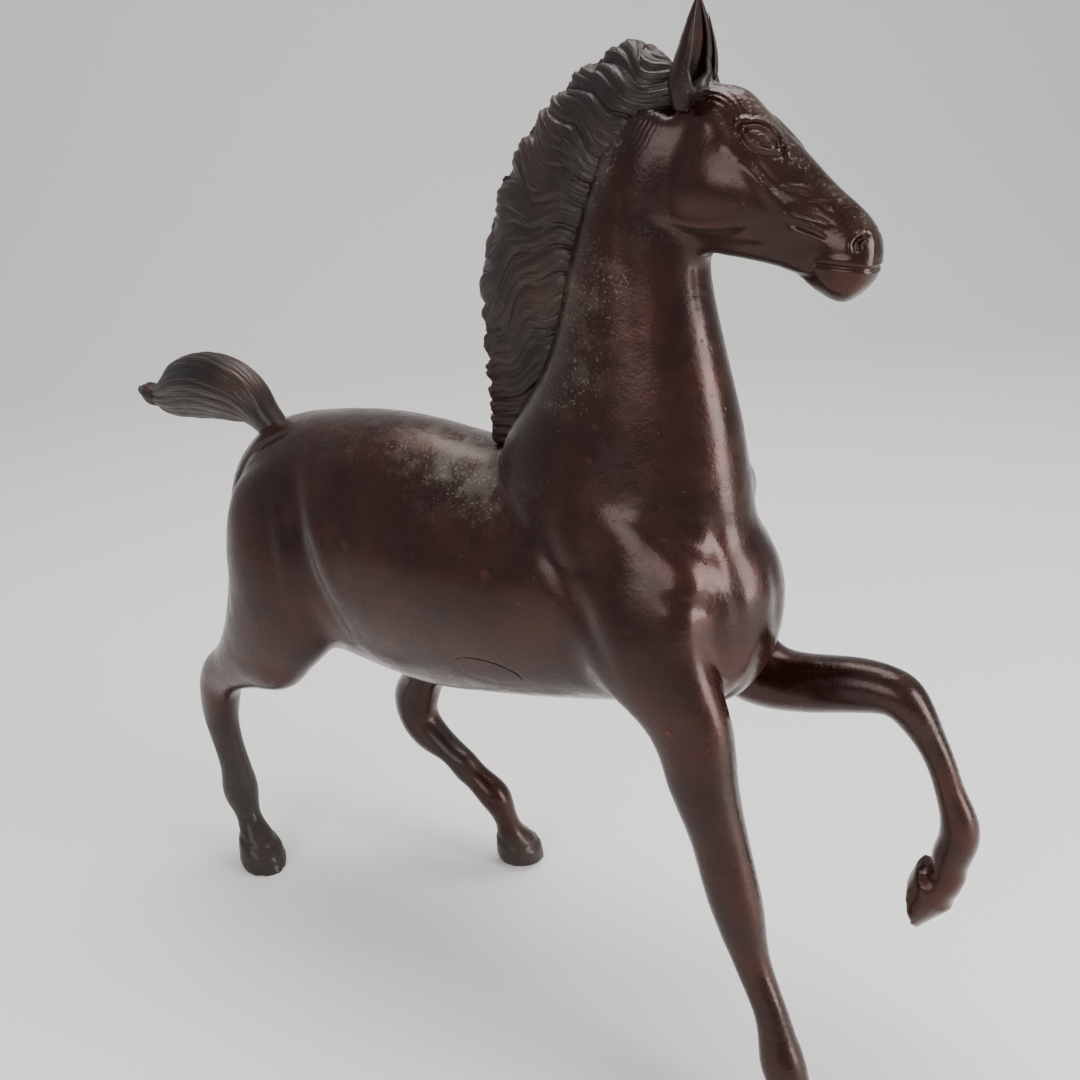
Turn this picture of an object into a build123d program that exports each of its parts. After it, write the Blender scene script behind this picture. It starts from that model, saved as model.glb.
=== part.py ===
from build123d import *
from math import cos, sin, pi, radians
import os

# Prancing horse statuette, hollow-cast bronze, built up from separate castings
# that are tenoned and pinned together.  Millimetres, +Z up, +X towards the head,
# +Y towards the horse's left side.  The origin is set at the end, at the centre
# of the bottom of the whole statue's box.

# ---- overall sizes -------------------------------------------------------
STATUE_HEIGHT = 436.0      # soles to the tips of the ears
STATUE_LENGTH = 457.0      # tip of the tail to the raised fetlock
BODY_WIDTH = 94.0          # across the barrel
TRACK_WIDTH = 86.0         # across the outer hind feet, centre to centre

# ---- foundry and assembly sizes ------------------------------------------
WALL = 3.6                 # thickness of the hollow castings
JOINT_CLEARANCE = 0.15     # gap around every tenon and sleeve
TENON_DIAMETER = 9.0       # round tenon on each leg and on the tail
TENON_LENGTH = 13.0
PIN_DIAMETER = 3.0         # driven pins through the tenons and the sleeve
SLEEVE_LENGTH = 26.0       # ring inside the neck, half of it in each casting
SLEEVE_WALL = 2.5
EAR_PEG_DIAMETER = 3.2
EAR_PEG_LENGTH = 4.0
PLUG_DIAMETER = 5.0        # plugs that close the core-pin holes
PATCH_LENGTH = 34.0        # oval plate that closes the core window
PATCH_HEIGHT = 15.0
HEAD_PITCH = 31.5          # degrees the face slopes down from level

# The tables below are drawn for a statue 436 high, 457 long, 94 wide.
SX = STATUE_LENGTH / 457.0
SY = BODY_WIDTH / 94.0
SZ = STATUE_HEIGHT / 436.0
SF = TRACK_WIDTH / 86.0
THICK = (SX * SY * SZ) ** (1 / 3)


def at(x, y, z):
    """Scaled position of a drawn point."""
    return Vector(x * SX, y * SY, z * SZ)


def leg_at(x, y, z):
    """Same, for the legs: the feet follow the track width."""
    spread = SF if z < 100 else SF + (SY - SF) * min(1.0, (z - 100) / 60)
    return Vector(x * SX, y * spread, z * SZ)


def tangents(points):
    """Direction of travel at each point of a centre line."""
    result = []
    for i in range(len(points)):
        before = points[max(i - 1, 0)]
        after = points[min(i + 1, len(points) - 1)]
        result.append((after - before).normalized())
    return result


def limb(stations, place=at, shrink=0.0, last_way=None):
    """Loft ellipses along a centre line.

    Each station is x, y, z, half depth (fore and aft), half width (side to side).
    The last ring can be turned to face a given way.
    """
    points = [place(*s[:3]) for s in stations]
    ways = tangents(points)
    if last_way:
        ways[-1] = Vector(*last_way)
    rings = []
    for point, way, s in zip(points, ways, stations):
        plane = Plane(origin=point, x_dir=(0, 1, 0), z_dir=way)
        rings.append(plane * Ellipse(s[4] * THICK - shrink, s[3] * THICK - shrink))
    return loft(rings)


def barrel_ring(x, top, bottom, half_width, shrink=0.0):
    """Closed cross-section of the trunk at one place along its length."""
    middle = (top + bottom) / 2 * SZ
    half_height = (top - bottom) / 2 * SZ - shrink
    half = half_width * SY - shrink
    points = []
    for k in range(12):
        a = 2 * pi * k / 12
        points.append((half * cos(a), middle + half_height * sin(a)))
    plane = Plane(origin=(x * SX, 0, 0), x_dir=(0, 1, 0), z_dir=(1, 0, 0))
    return plane * make_face(Spline(*points, periodic=True))


def barrel(stations, shrink=0.0):
    return loft([barrel_ring(*s, shrink=shrink) for s in stations])


def rod(start, way, length, diameter):
    """Round bar from a point along a direction."""
    plane = Plane(origin=start, z_dir=way)
    return extrude(plane * Circle(diameter / 2), length)


def half_space(point, way, size=900.0):
    """Everything in front of a plane through the point, facing way."""
    plane = Plane(origin=point, z_dir=way)
    return extrude(plane * Rectangle(size, size), size)


def biggest(shape):
    return max(shape.solids(), key=lambda s: s.volume)


# ---- outer forms ---------------------------------------------------------
TRUNK = [  # x, top, bottom, half width
    (-2, 216, 192, 8), (5, 236, 172, 20), (18, 254, 156, 31), (42, 266, 148, 40), (75, 272, 145, 45),
    (105, 274, 142, 47), (135, 272, 141, 47), (165, 268, 146, 47), (200, 267, 153, 46),
    (235, 268, 161, 44), (260, 264, 166, 40), (281, 253, 172, 32), (293, 241, 186, 21),
    (299, 223, 205, 7),
]
NECK = [  # x, y, z, half depth, half width
    (226, 0, 225, 60, 40), (232, 0, 258, 57, 37), (237, 0, 285, 48, 31),
    (240, 0, 310, 38, 26), (241, 0, 335, 31, 22), (244, 0, 360, 26, 19.5),
    (251, 0, 382, 23, 17.5), (262, 0, 398, 17, 14),
]
NECK_JOINT = 2             # station of the neck where the two castings meet

RIGHT_FORE = [
    (236, -12, 260, 25, 13), (243, -24, 238, 32, 17), (253, -30, 212, 32, 18),
    (269, -33, 188, 21.5, 15.5), (278.5, -33, 171, 17.2, 14), (284, -34.7, 151, 14.4, 13),
    (291, -36.3, 130, 12, 11.2), (297.5, -38, 109, 11.4, 10.6), (303, -39.5, 92, 10, 9.6),
    (307.5, -41, 79, 8, 7.8), (313.5, -43, 66.8, 7, 6.8), (318.5, -44.7, 57, 7, 6.8),
    (322, -46.3, 47, 8, 7.6), (326, -48.5, 36, 9.4, 8.6), (330, -50, 27.5, 8.4, 8.2),
    (334, -51.5, 21.5, 7.8, 7.8), (337, -52, 13.5, 10.4, 10.2),
    (341, -53, 0, 13.6, 12), (343, -53.5, -7, 15, 12.8),
]
LEFT_FORE = [
    (238, 12, 256, 25, 13), (244, 24, 234, 31, 17), (252, 30, 206, 30, 18),
    (264, 32, 182, 22, 16), (278, 31, 167.5, 16.5, 13.5), (298, 29.5, 167.5, 13.4, 11.5),
    (318, 28, 172.6, 12.2, 10.8), (333, 27.5, 175, 10.8, 10), (342.5, 27.5, 172.8, 9.6, 9.4),
    (348.5, 27.5, 166, 8, 8), (354, 28, 157, 6.4, 6.6), (360, 28, 145, 5.8, 6),
    (364, 28, 134, 6, 6.2), (368, 28, 123, 7.4, 7.2), (368.5, 28, 112, 8.2, 7.8),
    (366, 28, 101, 7.8, 7.8), (361.5, 28, 88.5, 10.6, 9.4),
]
RIGHT_HIND = [
    (70, -13, 250, 26, 14), (63, -24, 228, 38, 18), (56, -29, 204, 40, 20),
    (50, -32, 180, 36, 19.5), (36, -34, 158, 28, 17), (18, -34, 141, 19.5, 14.5),
    (2, -33, 130, 14, 12.5), (-11, -32, 120, 12.6, 11.4), (-18, -31, 106, 11.4, 10.6),
    (-21, -31, 86, 9.4, 8.8), (-19, -31, 70, 8.1, 8), (-17, -31, 55, 9, 8.6),
    (-16.5, -31, 40.5, 10.2, 9.4), (-12, -32.5, 27, 7.1, 6.9), (-7, -34, 14.5, 10.4, 10),
    (0.5, -36.5, 0, 12.8, 12), (3.5, -37.5, -7, 13.8, 12.8),
]
LEFT_HIND = [
    (70, 13, 250, 26, 14), (72, 24, 228, 36, 18), (77, 30, 204, 38, 20),
    (84, 34, 180, 33, 18.5), (91, 35, 158, 25, 16), (87, 35, 136, 18.5, 13.5),
    (79, 35, 116, 14.3, 12), (71.5, 35, 101, 12.6, 11.2), (67.5, 35, 87, 12.4, 10.8),
    (71.5, 35, 76, 11.2, 10), (82, 35, 68, 9.2, 8.6), (96, 35, 60, 8, 7.8),
    (107, 36, 50.5, 7.7, 7.7), (117, 37, 41.5, 8.9, 8.6), (122.5, 38.5, 27, 6.6, 6.6),
    (124.5, 40.5, 14.5, 10.2, 9.6), (127.5, 45, 0, 12.4, 11), (129, 47, -7, 13.4, 11.6),
]
# the station of each leg where it meets its stump on the trunk
RIGHT_FORE_JOINT, LEFT_FORE_JOINT, RIGHT_HIND_JOINT, LEFT_HIND_JOINT = 4, 4, 5, 4
CORONET_WAY = (-0.78, 0, -0.63)     # the lifted pastern points down and back
RAISED_SOLE_WAY = (-0.97, 0, -0.24)  # and its sole faces the tail, toe lowest

TAIL = [
    (30, 0, 252, 8.5, 8.5), (21, 0, 261, 10, 9.5), (10, 0, 270, 14.5, 12),
    (-3, 0, 274, 17, 14), (-19, 0, 275, 18, 15), (-35, 0, 272, 16.5, 14),
    (-49, 0, 267, 12.5, 11.5), (-62, 0, 264.5, 8, 8), (-72, 0, 266, 5, 5),
    (-79, 0, 267, 2.6, 2.6),
]
MANE = [  # x, y, z, half depth, half width
    (167, 0, 270, 5, 5), (176, 0, 279, 12, 10), (186, 0, 295, 21, 14),
    (192, 0, 316, 27, 16), (195, 0, 338, 28, 17), (202, 0, 358, 27, 17.5),
    (212, 0, 375, 26, 17.5), (226, 0, 392, 23, 17), (242, 0, 405, 17, 15),
    (256, 0, 412, 9, 10),
]


def ring(point, way, deep, wide):
    """Ellipse facing way, its width kept level."""
    plane = Plane(origin=leg_at(*point), x_dir=(0, 1, 0), z_dir=way)
    return plane * Ellipse(wide * THICK, deep * THICK)


def raised_hoof(stations, flare, sole, half_depth, half_width):
    """Lifted hoof: starts a step wider than the pastern, widens to a flat sole."""
    x, y, z, deep, wide = stations[-1]
    return loft([ring((x, y, z), CORONET_WAY, deep + flare, wide + flare),
                 ring(sole, RAISED_SOLE_WAY, half_depth, half_width)], ruled=True)


def head(shrink=0.0, first=0, last=None):
    """Head along its own axis, from behind the jaw to the lips."""
    stations = [  # distance from the poll, top, bottom, half width
        (8, 4, -36, 12.5), (20, 6.5, -45, 15), (32, 5, -48.5, 17), (44, 2.4, -45, 16.5),
        (57, -0.4, -39.5, 13.6), (69, -2.8, -35.8, 11), (79, -4.2, -34.8, 10.2),
        (87, -7.5, -34.2, 9.4), (91.5, -12, -31.5, 7.6),
    ]
    stations = stations[first:last]
    tilt = radians(HEAD_PITCH)
    along = Vector(cos(tilt), 0, -sin(tilt))
    upright = Vector(sin(tilt), 0, cos(tilt))
    poll = at(262, 0, 412)
    rings = []
    for s, top, bottom, half_width in stations:
        half_height = (top - bottom) / 2 * THICK - shrink
        half = half_width * THICK - shrink
        middle = poll + along * (s * THICK) + upright * ((top + bottom) / 2 * THICK)
        plane = Plane(origin=middle, x_dir=(0, 1, 0), z_dir=along)
        rings.append(plane * Ellipse(half, half_height))
    if not shrink:
        tip = poll + along * (94.5 * THICK) + upright * (-21.5 * THICK)
        rings.append(Vertex(*tip))
    return loft(rings)


def ear(side):
    """Pointed ear, hollowed on its front and outer side, with a peg below."""
    base = at(268, -10.5, 411) if side < 0 else at(264, 10.5, 409)
    tip = at(275.5, -14.5, 436) if side < 0 else at(261.5, 18.5, 431)
    way = (tip - base).normalized()
    outer, inner = [], []
    for share, deep, wide in ((-0.15, 5.2, 4.6), (0.12, 6.2, 5.4), (0.4, 5.6, 5.0),
                              (0.7, 3.6, 3.4), (0.92, 1.5, 1.5)):
        plane = Plane(origin=base + (tip - base) * share, x_dir=(0, 1, 0), z_dir=way)
        outer.append(plane * Ellipse(wide * THICK, deep * THICK))
    shift = Vector(2.6, side * 2.4, 0) * THICK
    for share, deep, wide in ((0.1, 3.6, 2.8), (0.4, 3.6, 2.9), (0.7, 2.2, 1.9),
                              (0.9, 0.7, 0.6)):
        plane = Plane(origin=base + (tip - base) * share + shift, x_dir=(0, 1, 0), z_dir=way)
        inner.append(plane * Ellipse(wide * THICK, deep * THICK))
    return loft(outer) - loft(inner), base, way


# ---- solids before they are divided --------------------------------------
barrel_outer = barrel(TRUNK)
barrel_core = barrel(TRUNK[2:-2], shrink=WALL)
neck_outer = limb(NECK)
neck_core = limb(NECK[:-1], shrink=WALL)
head_outer = head()
head_core = head(shrink=WALL, first=1, last=7)

legs = {
    "right_foreleg": (RIGHT_FORE, RIGHT_FORE_JOINT),
    "left_foreleg": (LEFT_FORE, LEFT_FORE_JOINT),
    "right_hind_leg": (RIGHT_HIND, RIGHT_HIND_JOINT),
    "left_hind_leg": (LEFT_HIND, LEFT_HIND_JOINT),
}
above_ground = half_space(Vector(0, 0, 0), Vector(0, 0, 1))

# ---- divide each leg at its joint ----------------------------------------
stumps, lower_legs, joints = [], {}, {}
for name, (stations, index) in legs.items():
    raised = stations is LEFT_FORE
    whole = limb(stations, place=leg_at, last_way=CORONET_WAY if raised else None)
    points = [leg_at(*s[:3]) for s in stations]
    centre, down = points[index], tangents(points)[index]
    below = half_space(centre, down, 300)
    if raised:
        foot = raised_hoof(LEFT_FORE, 1.8, (353, 28, 75.6), 12.3, 12)
        lower_legs[name] = (whole & below) + foot
    else:
        lower_legs[name] = (whole & below) & above_ground
    stumps.append(biggest(whole - below))
    joints[name] = (centre, down)

# ---- divide the neck at its joint ----------------------------------------
neck_points = [at(*s[:3]) for s in NECK]
neck_centre = neck_points[NECK_JOINT]
neck_up = tangents(neck_points)[NECK_JOINT]
above = half_space(neck_centre, neck_up)
neck_low = biggest(neck_outer - above)
trunk_outer = biggest(barrel_outer.fuse(*stumps, neck_low))
one_by_one = barrel_outer.fuse(neck_low)
for stump in stumps:
    one_by_one = one_by_one.fuse(stump)
one_by_one = biggest(one_by_one)
if trunk_outer.volume < 0.98 * one_by_one.volume:  # a leg was left out of the single union
    trunk_outer = one_by_one
upper_outer = biggest(biggest(neck_outer & above) + head_outer)
upper_outer = upper_outer - trunk_outer

# ---- tail -----------------------------------------------------------------
tail_points = [at(*s[:3]) for s in TAIL]
tail_outer = limb(TAIL)
tail_way = (tail_points[0] - tail_points[1]).normalized()
tail_joint = tail_points[1]

# ---- hollow castings, with a solid boss around every socket --------------
boss_radius = TENON_DIAMETER / 2 + WALL
bosses = [rod(c - d * (TENON_LENGTH + WALL), d, TENON_LENGTH + WALL, 2 * boss_radius)
          for c, d in joints.values()]
bosses.append(rod(tail_joint, tail_way, TENON_LENGTH * 2 + WALL, 2 * boss_radius))
trunk_void = barrel_core + (neck_core - above)
for boss in bosses:
    trunk_void = trunk_void - boss
trunk = trunk_outer - trunk_void
upper = upper_outer - (neck_core & above) - head_core


# ---- leg joints: tenon on the leg, blind socket in the stump, cross pin ---
pins = []
castings = {}
for name, (centre, down) in joints.items():
    side = -1 if name.startswith("right") else 1
    tenon = rod(centre + down * 2, down * -1, TENON_LENGTH + 2, TENON_DIAMETER)
    socket = rod(centre + down, down * -1, TENON_LENGTH + 1.5,
                 TENON_DIAMETER + 2 * JOINT_CLEARANCE)
    casting = biggest(lower_legs[name]) - barrel_outer
    middle = centre - down * (TENON_LENGTH / 2)
    across = Vector(0, side, 0)
    across = (across - down * across.dot(down)).normalized()
    pin = rod(middle - across * (TENON_DIAMETER / 2 + WALL / 2), across, 60, PIN_DIAMETER)
    trunk = trunk - socket
    pins.append(biggest(pin & trunk_outer))
    castings[name] = biggest(casting) + tenon - pin
    trunk = trunk - pin

# ---- tail joint -----------------------------------------------------------
tail_tenon = rod(tail_joint - tail_way * 2, tail_way, TENON_LENGTH * 2 + 2, TENON_DIAMETER)
tail_socket = rod(tail_joint - tail_way * 2, tail_way, TENON_LENGTH * 2 + 2.5,
                  TENON_DIAMETER + 2 * JOINT_CLEARANCE)
tail_middle = tail_joint + tail_way * (TENON_LENGTH * 1.3)
tail_pin = rod(tail_middle - Vector(0, 0, TENON_DIAMETER / 2 + WALL / 2), (0, 0, 1), 60,
               PIN_DIAMETER) & trunk_outer
trunk = trunk - tail_socket - tail_pin
tail = biggest(tail_outer - trunk_outer) + tail_tenon - tail_pin

# ---- neck sleeve and its pins --------------------------------------------
slab = half_space(neck_centre - neck_up * (SLEEVE_LENGTH / 2), neck_up) - half_space(
    neck_centre + neck_up * (SLEEVE_LENGTH / 2), neck_up)
sleeve_outside = limb(NECK[:-1], shrink=WALL + JOINT_CLEARANCE) & slab
sleeve_inside = limb(NECK[:-1], shrink=WALL + JOINT_CLEARANCE + SLEEVE_WALL)
sleeve = sleeve_outside - sleeve_inside
neck_wall = (neck_outer & slab) - sleeve_inside
neck_pins = []
for level in (-1, 1):
    row = neck_centre + neck_up * (level * SLEEVE_LENGTH / 4) - Vector(0, 200, 0)
    bar = rod(row, (0, 1, 0), 400, PIN_DIAMETER)
    neck_pins += list((bar & neck_wall).solids())
for pin in neck_pins:
    sleeve = sleeve - pin
    trunk = trunk - pin
    upper = upper - pin

# ---- ears -----------------------------------------------------------------
ears = {}
for side, name in ((-1, "right_ear"), (1, "left_ear")):
    shell, base, way = ear(side)
    peg = rod(base + way * 4, way * -1, 4 + EAR_PEG_LENGTH + 4, EAR_PEG_DIAMETER)
    hole = rod(base + way * 4, way * -1, 4.5 + EAR_PEG_LENGTH + 4,
               EAR_PEG_DIAMETER + JOINT_CLEARANCE)
    ears[name] = biggest(shell - upper_outer) + peg
    upper = upper - hole

# ---- mane, hollowed from its neck side, riveted at both ends --------------
mane = limb(MANE) - neck_outer - barrel_outer - head_outer - limb(MANE[2:-2], shrink=WALL)
for piece in ears.values():
    mane = mane - piece
mane = biggest(mane)
rivets = [rod(at(177, 0, 279), (0, 0, -1), 20, PIN_DIAMETER),
          rod(at(229, 0, 394), (1, 0, -0.25), 20, PIN_DIAMETER)]
for rivet in rivets:
    mane = mane - rivet
    trunk = trunk - rivet
    upper = upper - rivet

# ---- core window and core-pin holes, closed with plate and plugs ----------
window = extrude(Plane(origin=at(182, -20, 176), x_dir=(1, 0, 0), z_dir=(0, -1, 0))
                 * Ellipse(PATCH_LENGTH / 2, PATCH_HEIGHT / 2), 60)
patch = biggest(window & trunk)
trunk = trunk - window
plugs = []
for x, z in ((112, 226), (190, 226)):
    bar = rod(at(x, -80, z), (0, 1, 0), 160 * SY, PLUG_DIAMETER)
    plugs += list((bar & trunk).solids())
    trunk = trunk - bar

# ---- nodes ----------------------------------------------------------------
nodes = {
    "trunk_casting": [biggest(trunk)],
    "head_and_neck_casting": [biggest(upper)],
    "neck_joint_sleeve": [biggest(sleeve)],
    "neck_joint_pins": neck_pins,
    "right_ear": [biggest(ears["right_ear"])],
    "left_ear": [biggest(ears["left_ear"])],
    "mane_casting": [biggest(mane)],
    "mane_rivets": rivets,
    "tail_casting": [biggest(tail)],
    "tail_pin": [biggest(tail_pin)],
    "right_foreleg_casting": [biggest(castings["right_foreleg"])],
    "left_foreleg_casting": [biggest(castings["left_foreleg"])],
    "right_hind_leg_casting": [biggest(castings["right_hind_leg"])],
    "left_hind_leg_casting": [biggest(castings["left_hind_leg"])],
    "leg_joint_pins": pins,
    "core_window_patch": [patch],
    "core_pin_plugs": plugs,
}

# ---- origin: centre of the bottom of the whole box, then write ------------
boxes = [solid.bounding_box() for solids in nodes.values() for solid in solids]
low = [min(getattr(b.min, a) for b in boxes) for a in "XYZ"]
high = [max(getattr(b.max, a) for b in boxes) for a in "XYZ"]
shift = Pos(-(low[0] + high[0]) / 2, -(low[1] + high[1]) / 2, -low[2])
os.makedirs("parts", exist_ok=True)
for name, solids in nodes.items():
    moved = [shift * solid for solid in solids]
    shape = moved[0] if len(moved) == 1 else Compound(children=moved)
    export_step(shape, f"parts/{name}.step")
    print(name, len(solids), round(sum(s.volume for s in solids)),
          all(s.is_valid for s in solids))
print("shift", shift.position, "size", [round(h - l, 2) for h, l in zip(high, low)])
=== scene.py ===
import bpy
import bmesh
import math
import numpy as np
from mathutils import Matrix, Vector


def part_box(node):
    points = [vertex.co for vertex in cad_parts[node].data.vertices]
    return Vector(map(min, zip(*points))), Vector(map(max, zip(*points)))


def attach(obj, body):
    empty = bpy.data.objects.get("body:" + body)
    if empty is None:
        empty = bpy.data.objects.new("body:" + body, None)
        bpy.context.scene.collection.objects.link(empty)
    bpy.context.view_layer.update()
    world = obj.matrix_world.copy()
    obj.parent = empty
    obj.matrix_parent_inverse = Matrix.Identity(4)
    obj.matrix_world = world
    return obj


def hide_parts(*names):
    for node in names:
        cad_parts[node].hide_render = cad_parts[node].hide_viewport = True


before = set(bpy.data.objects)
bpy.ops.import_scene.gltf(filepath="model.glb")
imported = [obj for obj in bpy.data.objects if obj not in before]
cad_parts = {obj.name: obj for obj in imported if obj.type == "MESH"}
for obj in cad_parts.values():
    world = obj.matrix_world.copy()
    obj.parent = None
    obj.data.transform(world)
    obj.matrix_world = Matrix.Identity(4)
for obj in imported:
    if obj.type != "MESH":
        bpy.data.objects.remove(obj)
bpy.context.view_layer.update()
MM = 0.001           # one millimetre, in Blender's metres

# ------------------------------------------------------------------ mesh tools


class Skin:
    """Triangle surface held in arrays, in millimetres, with sculpting brushes."""

    def __init__(self, verts, tris):
        self.v = np.array(verts, float)
        self.t = np.array(tris, int)
        e = np.vstack([self.t[:, [0, 1]], self.t[:, [1, 2]], self.t[:, [2, 0]]])
        e.sort(axis=1)
        self.e = np.unique(e, axis=0)
        n = len(self.v)
        self.degree = np.bincount(self.e.ravel(), minlength=n).astype(float)
        self.degree[self.degree == 0] = 1.0

    def neighbours_mean(self, values):
        a, b = self.e[:, 0], self.e[:, 1]
        n = len(self.v)
        cols = []
        for k in range(values.shape[1]):
            cols.append(np.bincount(a, values[b, k], n) + np.bincount(b, values[a, k], n))
        return np.stack(cols, 1) / self.degree[:, None]

    def normals(self):
        p = self.v[self.t]
        face = np.cross(p[:, 1] - p[:, 0], p[:, 2] - p[:, 0])
        n = np.zeros_like(self.v)
        for corner in range(3):
            for k in range(3):
                n[:, k] += np.bincount(self.t[:, corner], face[:, k], len(self.v))
        return n / (np.linalg.norm(n, axis=1, keepdims=True) + 1e-12)

    def smooth(self, rounds, weight=1.0, step=0.5):
        w = weight if np.isscalar(weight) else weight[:, None]
        for _ in range(rounds):
            self.v += (self.neighbours_mean(self.v) - self.v) * step * w

    def even(self, rounds):
        """Smoothing that keeps volume."""
        for _ in range(rounds):
            self.smooth(1, step=0.5)
            self.smooth(1, step=-0.53)

    def fill_hollows(self, rounds, weight):
        """Raise concave places only, which rounds the inside of every join."""
        for i in range(rounds):
            if i % 8 == 0:                      # the normals change slowly
                n = self.normals()
            d = ((self.neighbours_mean(self.v) - self.v) * n).sum(1)
            self.v += n * (np.maximum(d, 0) * 0.5 * weight)[:, None]

    def push(self, amount, direction=None):
        """Move each point by its own amount, along its normal or the given direction."""
        d = self.normals() if direction is None else np.array(direction, float)
        self.v += d * amount[:, None]

    def blob(self, centre, radii, height):
        """Rounded swelling with separate radii along x, y and z."""
        d = np.linalg.norm((self.v - np.array(centre, float)) / np.array(radii, float), axis=1)
        self.push(height * np.exp(-d ** 2))

    def stroke(self, path, width, depth, lip=0.0):
        """Groove (depth > 0) or ridge (depth < 0) along a path, fading at its ends."""
        self.push(stroke_profile(self.v, path, width, depth, lip))


def smooth_path(path):
    """Round the corners of a polyline by cutting them twice."""
    p = np.array(path, float)
    for _ in range(2):
        q = p[:-1] * 0.75 + p[1:] * 0.25
        r = p[:-1] * 0.25 + p[1:] * 0.75
        corners = np.stack([q, r], 1).reshape(-1, p.shape[1])
        p = np.vstack([p[:1], corners, p[-1:]])
    return p


def line_distance(points, path):
    """Distance of each point to a polyline, and how far along it, from 0 to 1."""
    best = np.full(len(points), np.inf)
    along = np.zeros(len(points))
    lengths = np.linalg.norm(np.diff(path, axis=0), axis=1)
    total, done = lengths.sum(), 0.0
    for a, b, length in zip(path[:-1], path[1:], lengths):
        u = np.clip(((points - a) @ (b - a)) / length ** 2, 0, 1)
        d = np.linalg.norm(points - (a + u[:, None] * (b - a)), axis=1)
        near = d < best
        best = np.where(near, d, best)
        along = np.where(near, (done + u * length) / total, along)
        done += length
    return best, along


def stroke_profile(points, path, width, depth, lip, lip_place=1.7, taper=True):
    """How far each point moves for a stroke; the lip is a raised edge, lip_place widths away."""
    d, along = line_distance(points, smooth_path(path))
    fade = np.sin(np.pi * np.clip(along, 0.02, 0.98)) ** 0.6 if taper else 1.0
    amount = -depth * np.exp(-(d / width) ** 2) * fade
    if lip:
        amount += lip * np.exp(-((d - lip_place * width) / width) ** 2) * fade
    return amount


def arrays_of(mesh):
    """Vertices in millimetres and triangles of a Blender mesh."""
    mesh.calc_loop_triangles()
    v = np.empty(len(mesh.vertices) * 3)
    mesh.vertices.foreach_get("co", v)
    t = np.empty(len(mesh.loop_triangles) * 3, int)
    mesh.loop_triangles.foreach_get("vertices", t)
    return v.reshape(-1, 3) / MM, t.reshape(-1, 3)


def new_mesh(name, verts_mm, faces):
    mesh = bpy.data.meshes.new(name)
    mesh.from_pydata((np.asarray(verts_mm) * MM).tolist(), [], np.asarray(faces).tolist())
    mesh.update()
    return mesh


def new_object(name, data):
    obj = bpy.data.objects.new(name, data)
    bpy.context.scene.collection.objects.link(obj)
    return obj


def ball(centre, radius):
    """Small closed sphere, used to stop the peg holes."""
    bm = bmesh.new()
    bmesh.ops.create_icosphere(bm, subdivisions=3, radius=radius)
    bm.verts.ensure_lookup_table()
    v = np.array([q.co for q in bm.verts]) + np.array(centre)
    t = np.array([[q.index for q in f.verts] for f in bm.faces])
    bm.free()
    return v, t


def connected_parts(count, tris):
    """Label of the connected part each vertex is in."""
    links = np.vstack([tris[:, :2], tris[:, 1:]])
    label = np.arange(count)
    while True:
        low = np.minimum(label[links[:, 0]], label[links[:, 1]])
        new = label.copy()
        np.minimum.at(new, label[links[:, 0]], low)
        np.minimum.at(new, label[links[:, 1]], low)
        new = new[new]
        while not np.array_equal(new, new[new]):
            new = new[new]
        if np.array_equal(new, label):
            return label
        label = new


def kept_triangles(tris, keep):
    """Triangles between kept vertices, with the vertices numbered anew."""
    index = np.cumsum(keep) - 1
    return index[tris[keep[tris].all(axis=1)]]


def outer_part(v, t):
    """The connected part with the widest spread: the outer skin, without inner walls."""
    label = connected_parts(len(v), t)
    widest = max(np.unique(label), key=lambda k: np.ptp(v[label == k], axis=0).sum())
    return v[label == widest], kept_triangles(t, label == widest)


def voxel_union(nodes, stops, voxel_mm):
    """One closed surface round several CAD nodes, without their inner cavities."""
    verts, tris, start = [], [], 0
    for v, t in [arrays_of(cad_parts[name].data) for name in nodes] + stops:
        verts.append(v)
        tris.append(t + start)
        start += len(v)
    obj = new_object("union", new_mesh("union", np.vstack(verts), np.vstack(tris)))
    mod = obj.modifiers.new("remesh", "REMESH")
    mod.mode = "VOXEL"
    mod.voxel_size = voxel_mm * MM
    mod.adaptivity = 0.0
    graph = bpy.context.evaluated_depsgraph_get()
    done = bpy.data.meshes.new_from_object(obj.evaluated_get(graph))
    bpy.data.objects.remove(obj)
    return outer_part(*arrays_of(done))


def once(items):
    """Each item once, in the order given, so that every run numbers its mesh alike."""
    return list(dict.fromkeys(items))


def refine(v, t, chosen):
    """Split the chosen triangles in four, keeping the surface closed."""
    mesh = new_mesh("refine", v, t)
    bm = bmesh.new()
    bm.from_mesh(mesh)
    bm.faces.ensure_lookup_table()
    edges = once(e for i in np.nonzero(chosen)[0] for e in bm.faces[int(i)].edges)
    bmesh.ops.subdivide_edges(bm, edges=edges, cuts=1, use_grid_fill=True)
    bmesh.ops.triangulate(bm, faces=bm.faces[:])
    bm.to_mesh(mesh)
    bm.free()
    v, t = arrays_of(mesh)
    bpy.data.meshes.remove(mesh)
    return v, t


def smoothstep(x, a, b):
    u = np.clip((x - a) / (b - a), 0, 1)
    return u * u * (3 - 2 * u)


def wobble(p, size, seed):
    """Smooth random field from -1 to 1, made of crossed waves in three sizes."""
    rng = np.random.default_rng(seed)
    out, weight, total = np.zeros(len(p)), 1.0, 0.0
    for _ in range(3):
        layer = np.zeros(len(p))
        for _ in range(5):
            way = rng.normal(size=3)
            way *= 2 * np.pi / size / np.linalg.norm(way)
            layer += np.sin(p @ way + rng.uniform(0, 6.283))
        out += weight * layer / 2.4
        total += weight
        weight *= 0.55
        size *= 0.47
    return np.clip(out / total, -1, 1)


# ------------------------------------------------------------------ the bronze body

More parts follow.
